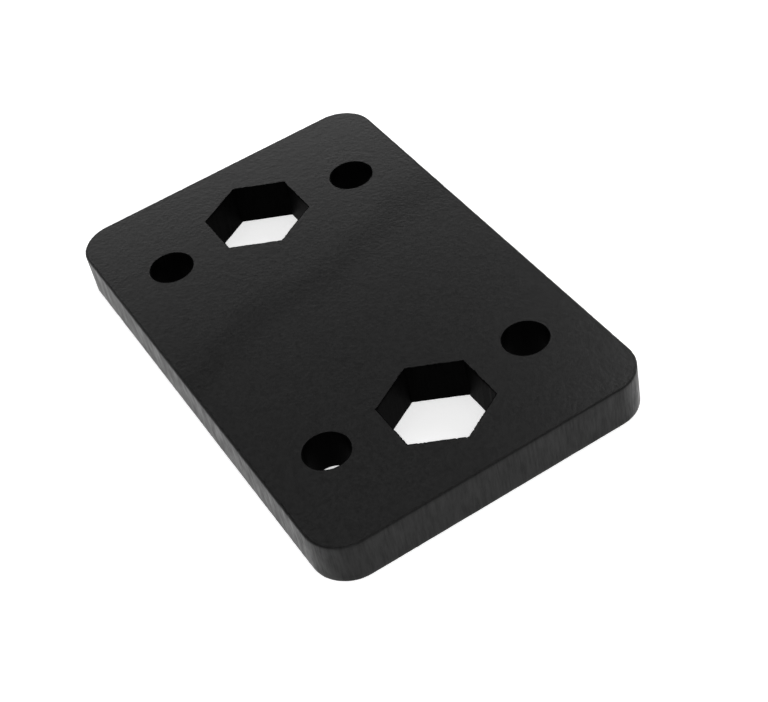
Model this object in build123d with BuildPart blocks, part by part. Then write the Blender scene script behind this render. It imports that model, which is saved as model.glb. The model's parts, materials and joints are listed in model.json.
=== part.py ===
from build123d import *

import os

# A flat mounting block cut from quarter-inch black acetal sheet: four round
# bolt holes on a rectangle, and two hexagonal openings on the centreline
# that hold an M8 nut or bolt head against turning.
# Millimetres. +Z is up, +Y runs along the length, and the origin is the
# centre of the underside.

# Outline
length = 75.5
width = 48.0
thickness = 6.35
corner_radius = 5.3

# Bolt holes, clearance for M6
bolt_hole_diameter = 6.3
bolt_pitch_x = 30.0
bolt_pitch_y = 45.0

# Hexagonal openings, with two flats parallel to the long sides
hex_across_flats = 13.2
hex_pitch = 48.75

# Edges
outer_edge_round = 0.2
rim_chamfer = 0.1

with BuildPart() as mounting_block:
    # The sheet with its rounded corners
    with BuildSketch():
        RectangleRounded(width, length, corner_radius)
    extrude(amount=thickness)
    outer_edges = mounting_block.faces().filter_by(Axis.Z).edges()
    fillet(outer_edges, radius=outer_edge_round)

    # Four bolt holes straight through
    with GridLocations(bolt_pitch_x, bolt_pitch_y, 2, 2):
        Hole(radius=bolt_hole_diameter / 2)

    # Two hexagons straight through, each with a corner towards either end
    with BuildSketch():
        with GridLocations(0, hex_pitch, 1, 2):
            RegularPolygon(
                radius=hex_across_flats / 2,
                side_count=6,
                major_radius=False,
                rotation=30,
            )
    extrude(amount=thickness, mode=Mode.SUBTRACT)

    # The rims of the holes and hexagons, just broken
    faces = mounting_block.faces().filter_by(Axis.Z)
    rims = [
        edge
        for face in (faces.sort_by(Axis.Z)[0], faces.sort_by(Axis.Z)[-1])
        for wire in face.inner_wires()
        for edge in wire.edges()
    ]
    chamfer(rims, length=rim_chamfer)

mounting_block.part.label = "mounting_block"

os.makedirs("parts", exist_ok=True)
export_step(mounting_block.part, "parts/mounting_block.step")

box = mounting_block.part.bounding_box()
print("size", box.size, "from", box.min, "to", box.max)
print("volume", round(mounting_block.part.volume, 1), "mm3")
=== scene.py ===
import json
from math import cos, pi, radians, sin

import bpy
import numpy as np
from mathutils import Matrix, Vector, geometry


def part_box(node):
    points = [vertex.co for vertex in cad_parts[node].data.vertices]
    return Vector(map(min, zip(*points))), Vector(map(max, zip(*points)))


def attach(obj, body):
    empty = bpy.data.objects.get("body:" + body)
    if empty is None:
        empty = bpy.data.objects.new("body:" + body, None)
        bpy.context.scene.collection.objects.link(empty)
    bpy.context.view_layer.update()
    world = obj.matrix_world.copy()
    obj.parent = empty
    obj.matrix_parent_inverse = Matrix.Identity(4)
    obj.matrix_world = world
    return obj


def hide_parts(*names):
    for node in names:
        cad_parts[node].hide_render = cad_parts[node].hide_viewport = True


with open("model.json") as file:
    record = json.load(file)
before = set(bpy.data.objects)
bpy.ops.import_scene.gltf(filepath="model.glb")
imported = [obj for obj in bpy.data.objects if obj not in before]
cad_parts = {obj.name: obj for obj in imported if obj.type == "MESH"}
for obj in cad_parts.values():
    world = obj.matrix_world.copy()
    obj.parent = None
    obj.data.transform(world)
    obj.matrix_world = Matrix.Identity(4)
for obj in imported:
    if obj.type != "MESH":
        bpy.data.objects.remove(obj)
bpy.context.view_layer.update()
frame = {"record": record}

mm = 0.001

# ---------------------------------------------------------------------------
# Outer edge of the block. It is cut from quarter-inch black acetal sheet, and
# the cut leaves a wall of fine upright ridges between two softly rounded rims.
# ---------------------------------------------------------------------------

sheet_low, sheet_high = (np.array(corner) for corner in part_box("mounting_block"))
block_width, block_length, thickness = sheet_high - sheet_low
corner_radius = 5.3 * mm
outer_rim_round = 0.2 * mm
outer_step = 0.12 * mm
room_for_ridges = 0.04 * mm


def rounded_rectangle(width, length, radius, step):
    """Closed outline, anticlockwise: a rectangle drawn in by the corner radius, moved out along its own
    outward direction by that radius. Returns places, outward directions, distance along, whole length."""
    places, outwards = [], []
    for quarter in range(4):
        begin = quarter * pi / 2
        turn = np.linspace(begin, begin + pi / 2, int(radius * pi / 2 / step), endpoint=False)
        centre = np.array([width / 2 - radius, length / 2 - radius])
        centre *= np.sign([cos(begin + pi / 4), sin(begin + pi / 4)])
        outward = np.stack([np.cos(turn), np.sin(turn)], 1)
        places.append(centre + radius * outward)
        outwards.append(outward)
        side = (length if quarter % 2 else width) - 2 * radius
        outward = np.array([cos(begin + pi / 2), sin(begin + pi / 2)])
        along = np.array([-outward[1], outward[0]])
        travel = np.linspace(0, side, int(side / step), endpoint=False)[:, None]
        places.append(centre + radius * outward + along * travel)
        outwards.append(np.repeat(outward[None], len(travel), 0))
    places, outwards = np.concatenate(places), np.concatenate(outwards)
    gaps = np.linalg.norm(np.roll(places, -1, 0) - places, axis=1)
    return places, outwards, np.cumsum(gaps) - gaps, gaps.sum()


def upright_section(rim, rows):
    """Section of a wall from the upper face to the lower one: a flat lip, a quarter round of radius rim, a
    straight drop, and the same again below. Returns the draw-back from the outline, and the height."""
    lip = 0.1 * mm
    turn = np.linspace(0, pi / 2, 5)
    drop = np.linspace(thickness - rim, rim, rows)[1:-1]
    upper_back, upper_height = rim * (1 - np.sin(turn)), thickness - rim * (1 - np.cos(turn))
    back = np.concatenate([[rim + lip], upper_back, 0 * drop, upper_back[::-1], [rim + lip]])
    height = np.concatenate([[thickness], upper_height, drop, thickness - upper_height[::-1], [0]])
    return back, height


def random_ridges(run, loop, pitch, seed):
    """Random heights one pitch apart round a closed run, joined by half waves of a cosine."""
    count = max(int(loop / pitch), 4)
    heights = np.random.default_rng(seed).normal(size=count)
    place = np.mod(run / loop, 1.0) * count
    before = np.floor(place).astype(int)
    blend = (1 - np.cos(pi * (place - before))) / 2
    return heights[before % count] * (1 - blend) + heights[(before + 1) % count] * blend


def beam_ridges(run, height, loop, seed, ridge, fray, waver):
    """How far the cut stands back from its outline: leaning upright ridges in fine and coarse rows, each
    gathered in groups, a slow waver, and along the upper rim a row of small chips that dies away within a
    third of a millimetre of it."""
    depth = thickness - height
    leaning = run + 0.10 * depth + 0.12 * mm * random_ridges(run, loop, 5 * mm, seed)
    group = 0.35 + 0.65 * np.abs(random_ridges(run, loop, 4 * mm, seed + 1))
    fine = random_ridges(leaning, loop, 0.28 * mm, seed + 2)
    coarse = random_ridges(leaning, loop, 0.7 * mm, seed + 3)
    slow = random_ridges(run + 0.4 * depth, loop, 7 * mm, seed + 4)
    near_rim = np.exp(-depth / (0.16 * mm))
    chips = np.maximum(random_ridges(run, loop, 0.25 * mm, seed + 5), 0) * near_rim
    return ridge * group * (0.5 * fine + coarse) + waver * slow + fray * chips


def cut_wall(outline, rim, rows, seed, ridge, fray, waver):
    """Wall as a grid: the outline, moved back along its outward direction by the section's draw-back and by
    the ridges, at each height of the section. Returns the grid of points and its run and depth."""
    places, outwards, run, loop = outline
    back, height = upright_section(rim, rows)
    ridges = beam_ridges(run[:, None], height[None], loop, seed, ridge, fray, waver)
    flat = places[:, None] - outwards[:, None] * (back[None] + ridges)[..., None]
    grid = np.concatenate([flat, np.broadcast_to(height[None, :, None], flat.shape[:2] + (1,))], 2)
    return grid, run, loop, thickness - height


outer_wall = cut_wall(
    rounded_rectangle(block_width - 2 * room_for_ridges, block_length - 2 * room_for_ridges,
                      corner_radius, outer_step),
    outer_rim_round, 14, 11, 0.008 * mm, 0.03 * mm, 0.003 * mm)

# ---------------------------------------------------------------------------
# Four bolt holes, straight through the sheet. The record's bolt pattern gives
# their places and size; the same cut leaves their rims raw, and their walls are darkened with painted shade.
# ---------------------------------------------------------------------------

bolts = next(m for m in frame["record"]["mounts"] if m["name"] == "bolt_holes")["dims"]
bolt_hole_radius = bolts["hole_r_mm"] * mm
bolt_pitch = np.array([bolts["spacing_x_mm"], bolts["spacing_y_mm"]]) * mm
opening_rim_round = 0.03 * mm
bolt_hole_step = 0.12 * mm
bolt_hole_room = 0.05 * mm


def round_opening(centre, radius, step):
    """Circle about a centre, clockwise, with its outward direction pointing into the opening."""
    turn = -np.linspace(0, 2 * pi, int(2 * pi * radius / step), endpoint=False)
    spoke = np.stack([np.cos(turn), np.sin(turn)], 1)
    return centre + radius * spoke, -spoke, -turn * radius, 2 * pi * radius


bolt_hole_walls = [
    cut_wall(round_opening(np.array(corner) * bolt_pitch / 2, bolt_hole_radius - bolt_hole_room,
                           bolt_hole_step),
             opening_rim_round, 12, 31 + 10 * number, 0.006 * mm, 0.015 * mm, 0.02 * mm)
    for number, corner in enumerate(((-1, 1), (1, 1), (1, -1), (-1, -1)))
]

# ---------------------------------------------------------------------------
# Two hexagonal openings that hold a nut or bolt head. Each has six flat walls
# that meet in sharp upright corners, two of them parallel to the long sides.
# ---------------------------------------------------------------------------

hex_across_flats = 13.2 * mm
hex_places = [m["pos_m"][:2] for m in frame["record"]["mounts"] if m["name"].startswith("hex_opening")]


def hexagonal_opening(centre, across_flats, step):
    """Hexagon about a centre, clockwise from the corner towards +Y: each point is the corner before it plus
    a share of the side. At a corner the direction into the opening is lengthened, as at a mitre."""
    per_side = int(across_flats / 3 ** 0.5 / step)
    corners = pi / 2 - np.arange(7) * pi / 3
    spokes = across_flats / 3 ** 0.5 * np.stack([np.cos(corners), np.sin(corners)], 1)
    share = np.linspace(0, 1, per_side, endpoint=False)[None, :, None]
    places = (spokes[:-1, None] * (1 - share) + spokes[1:, None] * share).reshape(-1, 2)
    middles = corners[:-1] - pi / 6
    inwards = -np.repeat(np.stack([np.cos(middles), np.sin(middles)], 1), per_side, 0)
    inwards[::per_side] = -spokes[:-1] / (across_flats / 2)
    loop = 2 * 3 ** 0.5 * across_flats
    return centre + places, inwards, np.arange(len(places)) * loop / len(places), loop


hex_step = 0.1 * mm
hex_room = 0.03 * mm
hex_side_points = int(hex_across_flats / 3 ** 0.5 / hex_step)
hex_walls = [
    cut_wall(hexagonal_opening(np.array(place), hex_across_flats - 2 * hex_room, hex_step),
             opening_rim_round, 16, 71 + 10 * number, 0.012 * mm, 0.05 * mm, 0.004 * mm)
    for number, place in enumerate(hex_places)
]

# ---------------------------------------------------------------------------
# The two faces of the sheet, and the block as one closed piece: each wall's
# first and last rows are the edges of the upper and lower faces.
# ---------------------------------------------------------------------------

walls = [outer_wall, *bolt_hole_walls, *hex_walls]
lattice_step = 1.6 * mm


def wall_faces(first, columns, rows):
    """Quads of a wall's grid, closed round its outline, facing away from the material."""
    column, row = np.meshgrid(np.arange(columns), np.arange(rows - 1), indexing="ij")
    here, beyond = first + column * rows + row, first + (column + 1) % columns * rows + row
    return np.stack([here, here + 1, beyond + 1, beyond], 2).reshape(-1, 4)


def inside(outline, places):
    """Which places lie inside a closed outline: those whose ray towards +X crosses it an odd number of
    times."""
    x, y = places[:, None, 0], places[:, None, 1]
    x0, y0 = outline[None, :, 0], outline[None, :, 1]
    x1, y1 = np.roll(x0, -1, 1), np.roll(y0, -1, 1)
    spans = (y0 > y) != (y1 > y)
    rise = np.where(y1 == y0, 1.0, y1 - y0)
    crossing = spans & (x < x0 + (y - y0) * (x1 - x0) / rise)
    return crossing.sum(1) % 2 == 1


def sheet_face(rims, upward):
    """One flat face: a Delaunay net over its rims and a lattice of points between them, less the triangles
    that span an opening. Returns the lattice and the triangles, numbered through rims and then lattice."""
    ends = np.array([block_width, block_length]) / 2 - lattice_step
    lattice = np.stack(np.meshgrid(*[np.arange(-end, end, lattice_step) for end in ends]), 2).reshape(-1, 2)
    for rim in rims:
        gap = np.linalg.norm(lattice[:, None] - rim[None], axis=2).min(1)
        lattice = lattice[(gap > lattice_step / 2) & (inside(rim, lattice) == (rim is rims[0]))]
    places = np.concatenate([*rims, lattice])
    owner = np.concatenate([np.full(len(rim), number) for number, rim in enumerate([*rims, lattice])])
    here = np.arange(len(places) - len(lattice))
    begins = np.flatnonzero(np.diff(owner, prepend=-1))
    following = here + 1
    following[begins[1:] - 1] = begins[:-1]
    net = geometry.delaunay_2d_cdt([Vector(p) for p in places / mm], np.stack([here, following], 1).tolist(),
                                   [], 1, 1e-6, True)
    first_source = np.array([sources[0] for sources in net[3]])
    triangles = first_source[np.array([list(face) for face in net[2]])]
    keep = np.ones(len(triangles), bool)
    for number, rim in enumerate(rims[1:], 1):
        own = np.flatnonzero((owner[triangles] == number).all(1))
        keep[own[inside(rim, places[triangles[own]].mean(1))]] = False
    triangles = triangles[keep]
    a, b, c = (places[triangles[:, corner]] for corner in range(3))
    turn = (b[:, 0] - a[:, 0]) * (c[:, 1] - a[:, 1]) - (b[:, 1] - a[:, 1]) * (c[:, 0] - a[:, 0])
    wrong = (turn > 0) != upward
    triangles[wrong] = triangles[wrong][:, ::-1]
    return lattice, triangles


points, faces, face_kind, wall_uv, first = [], [], [], [], 0
upper_rims, lower_rims = [], []
for number, (grid, run, loop, depth) in enumerate(walls):
    columns, rows = grid.shape[:2]
    quads = wall_faces(first, columns, rows)
    points.append(grid.reshape(-1, 3))
    faces += quads.tolist()
    face_kind.append(np.full(len(quads), 1 if number == 0 else 2))
    run_next = np.append(run[1:], loop)
    run_here, run_beyond = (np.repeat(r, rows - 1) for r in (run, run_next))
    above, below = np.tile(depth[:-1], columns), np.tile(depth[1:], columns)
    wall_uv.append(np.stack([run_here, above, run_here, below, run_beyond, below, run_beyond, above], 1))
    start = first + np.arange(columns) * rows
    upper_rims.append((grid[:, 0, :2], start))
    lower_rims.append((grid[:, -1, :2], start + rows - 1))
    first += columns * rows

for rims, height in ((upper_rims, thickness), (lower_rims, 0.0)):
    lattice, triangles = sheet_face([rim for rim, _ in rims], height > 0)
    numbers = np.concatenate([numbers for _, numbers in rims] + [first + np.arange(len(lattice))])
    points.append(np.column_stack([lattice, np.full(len(lattice), height)]))
    faces += numbers[triangles].tolist()
    face_kind.append(np.zeros(len(triangles), int))
    first += len(lattice)

points, face_kind = np.concatenate(points), np.concatenate(face_kind)
block_mesh = bpy.data.meshes.new("cut_block")
block_mesh.from_pydata(points.tolist(), [], faces)
block_mesh.polygons.foreach_set("material_index", face_kind.astype(np.int32))
block_mesh.polygons.foreach_set("use_smooth", face_kind > 0)
wall_uv = np.concatenate(wall_uv).reshape(-1, 2) / mm
uv = np.zeros((len(block_mesh.loops), 2))
uv[:len(wall_uv)] = wall_uv
block_mesh.uv_layers.new(name="along_cut").data.foreach_set("uv", uv.ravel())

edge_ends = np.zeros(len(block_mesh.edges) * 2, int)
block_mesh.edges.foreach_get("vertices", edge_ends)
edge_ends = edge_ends.reshape(-1, 2)
sharp = np.zeros(len(edge_ends), bool)
first = len(outer_wall[0].reshape(-1, 3)) + sum(len(w[0].reshape(-1, 3)) for w in bolt_hole_walls)
for grid, *_ in hex_walls:
    columns, rows = grid.shape[:2]
    corner_column = (edge_ends - first) // rows
    on_this_wall = ((edge_ends >= first) & (edge_ends < first + columns * rows)).all(1)
    upright = corner_column[:, 0] == corner_column[:, 1]
    sharp |= on_this_wall & upright & (corner_column[:, 0] % hex_side_points == 0)
    first += columns * rows
block_mesh.attributes.new("sharp_edge", "BOOLEAN", "EDGE").data.foreach_set("value", sharp)
block_mesh.validate()
block = bpy.data.objects.new("cut_block", block_mesh)
bpy.context.scene.collection.objects.link(block)
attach(block, "root")
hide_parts("mounting_block")

# ---------------------------------------------------------------------------
# Finish of the block: the sheet's matte pebbled skin, the outer cut edge with
# its upright streaks, and the streaked walls inside the openings, darkened with painted shade.
# ---------------------------------------------------------------------------


def new_material(name):
    """An empty node material with its output and its Principled shader."""
    material = bpy.data.materials.new(name)
    material.use_nodes = True
    nodes = material.node_tree.nodes
    return material, nodes, material.node_tree.links, nodes["Principled BSDF"]


def add_noise(nodes, links, coords, scale, detail, roughness, stretch=(1, 1, 1)):
    """A noise texture on coordinates stretched along each axis; returns its height output."""
    mapping = nodes.new("ShaderNodeMapping")
    mapping.inputs["Scale"].default_value = stretch
    links.new(coords, mapping.inputs["Vector"])
    noise = nodes.new("ShaderNodeTexNoise")
    noise.inputs["Scale"].default_value = scale
    noise.inputs["Detail"].default_value = detail
    noise.inputs["Roughness"].default_value = roughness
    links.new(mapping.outputs["Vector"], noise.inputs["Vector"])
    return noise.outputs["Fac"]


def ramp(nodes, links, value, stops):
    """A colour ramp of grey levels at the given places."""
    node = nodes.new("ShaderNodeValToRGB")
    elements = node.color_ramp.elements
    for number, (place, level) in enumerate(stops):
        element = elements[number] if number < 2 else elements.new(place)
        element.position = place
        element.color = (level, level, level, 1)
    links.new(value, node.inputs["Fac"])
    return node.outputs["Color"]


def add_bump(nodes, links, height, strength, distance, normal=None):
    """A bump node on a height, over another bump where one is given."""
    bump = nodes.new("ShaderNodeBump")
    bump.inputs["Strength"].default_value = strength
    bump.inputs["Distance"].default_value = distance
    links.new(height, bump.inputs["Height"])
    if normal is not None:
        links.new(normal, bump.inputs["Normal"])
    return bump.outputs["Normal"]


skin, nodes, links, shader = new_material("pebbled_skin")
place = nodes.new("ShaderNodeTexCoord").outputs["Object"]
pebble = add_noise(nodes, links, place, 2600, 2.0, 0.55)
wrinkle = add_noise(nodes, links, place, 900, 3.0, 0.6)
normal = add_bump(nodes, links, wrinkle, 1.0, 0.012 * mm)
normal = add_bump(nodes, links, pebble, 1.0, 0.017 * mm, normal)
links.new(normal, shader.inputs["Normal"])
links.new(ramp(nodes, links, pebble, ((0.35, 0.001), (0.65, 0.007))), shader.inputs["Base Color"])

# A rubbed band of faint darker smears crosses the middle of the upper face.
axes = nodes.new("ShaderNodeSeparateXYZ")
links.new(place, axes.inputs["Vector"])
band = nodes.new("ShaderNodeMath")
band.operation = "MULTIPLY_ADD"
band.inputs[1].default_value = -0.27
links.new(axes.outputs["X"], band.inputs[0])
links.new(axes.outputs["Y"], band.inputs[2])
wander = nodes.new("ShaderNodeMath")
wander.operation = "MULTIPLY_ADD"
wander.inputs[1].default_value = 14 * mm
links.new(add_noise(nodes, links, place, 90, 3.0, 0.6), wander.inputs[0])
links.new(band.outputs[0], wander.inputs[2])
span = nodes.new("ShaderNodeMapRange")
span.inputs["From Min"].default_value = 4 * mm
span.inputs["From Max"].default_value = 24 * mm
links.new(wander.outputs[0], span.inputs["Value"])
rubbed = ramp(nodes, links, span.outputs["Result"], ((0.2, 0.25), (0.42, 0.228), (0.54, 0.228), (0.76, 0.25)))
links.new(rubbed, shader.inputs["Roughness"])


def streak_group():
    """Upright streaks of a cut wall, the same in every material that has them: fine noise drawn out eight
    times down the depth, plus noise four times as coarse drawn out about three times. Puts out their height."""
    group = bpy.data.node_groups.new("upright_streaks", "ShaderNodeTree")
    group.interface.new_socket("Along", in_out="INPUT", socket_type="NodeSocketVector")
    group.interface.new_socket("Height", in_out="OUTPUT", socket_type="NodeSocketFloat")
    enter = group.nodes.new("NodeGroupInput")
    leave = group.nodes.new("NodeGroupOutput")
    fine = add_noise(group.nodes, group.links, enter.outputs["Along"], 3.2, 3.0, 0.6, (1, 0.12, 1))
    coarse = add_noise(group.nodes, group.links, enter.outputs["Along"], 0.8, 3.0, 0.6, (1, 0.3, 1))
    both = group.nodes.new("ShaderNodeMath")
    both.operation = "ADD"
    group.links.new(fine, both.inputs[0])
    group.links.new(coarse, both.inputs[1])
    half = group.nodes.new("ShaderNodeMath")
    half.operation = "MULTIPLY"
    half.inputs[1].default_value = 0.5
    group.links.new(both.outputs[0], half.inputs[0])
    group.links.new(half.outputs[0], leave.inputs["Height"])
    return group


def add_streaks(nodes, links):
    """The streaks, run along a wall by its own map."""
    along = nodes.new("ShaderNodeUVMap")
    along.uv_map = "along_cut"
    streaks = nodes.new("ShaderNodeGroup")
    streaks.node_tree = upright_streaks
    links.new(along.outputs["UV"], streaks.inputs["Along"])
    return streaks.outputs["Height"]


upright_streaks = streak_group()

edge, nodes, links, shader = new_material("cut_edge")
streak = add_streaks(nodes, links)
links.new(add_bump(nodes, links, streak, 1.0, 0.045 * mm), shader.inputs["Normal"])
links.new(ramp(nodes, links, streak, ((0.38, 0.50), (0.62, 0.30))), shader.inputs["Roughness"])
links.new(ramp(nodes, links, streak, ((0.40, 0.0), (0.60, 0.007))), shader.inputs["Base Color"])
shader.inputs["Specular IOR Level"].default_value = 0.15

# Painted shade: the walls of the bolt holes and hexagonal openings are a darker copy of the cut edge, their
# colour held near black and their reflection nearly off, standing in for the shade inside the openings.
painted_shade_wall, nodes, links, shader = new_material("opening_wall_painted_shade")
streak = add_streaks(nodes, links)
links.new(add_bump(nodes, links, streak, 1.0, 0.02 * mm), shader.inputs["Normal"])
links.new(ramp(nodes, links, streak, ((0.38, 0.0), (0.62, 0.001))), shader.inputs["Base Color"])
shader.inputs["Roughness"].default_value = 0.5
shader.inputs["Specular IOR Level"].default_value = 0.01

for material in (skin, edge, painted_shade_wall):
    block_mesh.materials.append(material)

# ---------------------------------------------------------------------------
# Studio: a white floor under a sky that is bright low down and dark above,
# paler again overhead, one soft lamp above the camera, one to the far right.
# ---------------------------------------------------------------------------

floor_mesh = bpy.data.meshes.new("floor")
reach = 3.0
floor_mesh.from_pydata([(-reach, -reach, 0), (reach, -reach, 0), (reach, reach, 0), (-reach, reach, 0)],
                       [], [(0, 1, 2, 3)])
floor = bpy.data.objects.new("floor", floor_mesh)
bpy.context.scene.collection.objects.link(floor)
paper, nodes, links, shader = new_material("white_paper")
shader.inputs["Base Color"].default_value = (0.95, 0.95, 0.95, 1)
shader.inputs["Roughness"].default_value = 1.0
shader.inputs["Specular IOR Level"].default_value = 0.0
shader.inputs["Emission Color"].default_value = (0.5, 0.5, 0.5, 1)
path = nodes.new("ShaderNodeLightPath")
seen = nodes.new("ShaderNodeMath")
seen.operation = "ADD"
links.new(path.outputs["Is Camera Ray"], seen.inputs[0])
links.new(path.outputs["Is Glossy Ray"], seen.inputs[1])
seen_through = nodes.new("ShaderNodeMath")
seen_through.operation = "ADD"
seen_through.use_clamp = True
links.new(seen.outputs[0], seen_through.inputs[0])
links.new(path.outputs["Is Transmission Ray"], seen_through.inputs[1])
links.new(seen_through.outputs[0], shader.inputs["Emission Strength"])
floor_mesh.materials.append(paper)


def direction(azimuth, elevation):
    """From the block towards a place: azimuth 0 is towards -Y and 90 towards +X, both in degrees."""
    a, e = radians(azimuth), radians(elevation)
    return Vector((sin(a) * cos(e), -cos(a) * cos(e), sin(e)))


def soft_lamp(name, azimuth, elevation, distance, size, watts):
    """A square area lamp that faces the block."""
    data = bpy.data.lights.new(name, "AREA")
    data.size, data.energy = size, watts
    lamp = bpy.data.objects.new(name, data)
    towards = direction(azimuth, elevation)
    turn = towards.to_track_quat("Z", "Y").to_matrix().to_4x4()
    lamp.matrix_world = Matrix.Translation(towards * distance) @ turn
    bpy.context.scene.collection.objects.link(lamp)


soft_lamp("key_lamp", -20, 58, 0.9, 0.35, 1.4)
soft_lamp("side_lamp", 120, 38, 0.9, 0.4, 1.6)

world = bpy.data.worlds.new("studio")
bpy.context.scene.world = world
world.use_nodes = True
nodes, links = world.node_tree.nodes, world.node_tree.links
background = nodes["Background"]
split = nodes.new("ShaderNodeSeparateXYZ")
links.new(nodes.new("ShaderNodeTexCoord").outputs["Generated"], split.inputs["Vector"])
sky = ramp(nodes, links, split.outputs["Z"], ((0.52, 1.0), (0.59, 0.02), (0.72, 0.02), (1.0, 0.5)))
links.new(sky, background.inputs["Color"])
background.inputs["Strength"].default_value = 1.7

# ---------------------------------------------------------------------------
# Camera, close above the near left corner and rolled a little to its right.
# ---------------------------------------------------------------------------

camera_data = bpy.data.cameras.new("camera")
camera_data.sensor_width = 36
camera_data.lens = 77.7
camera_data.clip_start, camera_data.clip_end = 0.01, 20
camera = bpy.data.objects.new("camera", camera_data)
bpy.context.scene.collection.objects.link(camera)
bpy.context.scene.camera = camera
aim = Vector((-0.36 * mm, -12.24 * mm, thickness))
back = direction(-21.92, 43.74)
upright = back.to_track_quat("Z", "Y").to_matrix().to_4x4()
roll = Matrix.Rotation(radians(-13.38), 4, "Z")
camera.matrix_world = Matrix.Translation(aim + back * 215.8 * mm) @ upright @ roll

bpy.context.scene.view_settings.view_transform = "Standard"
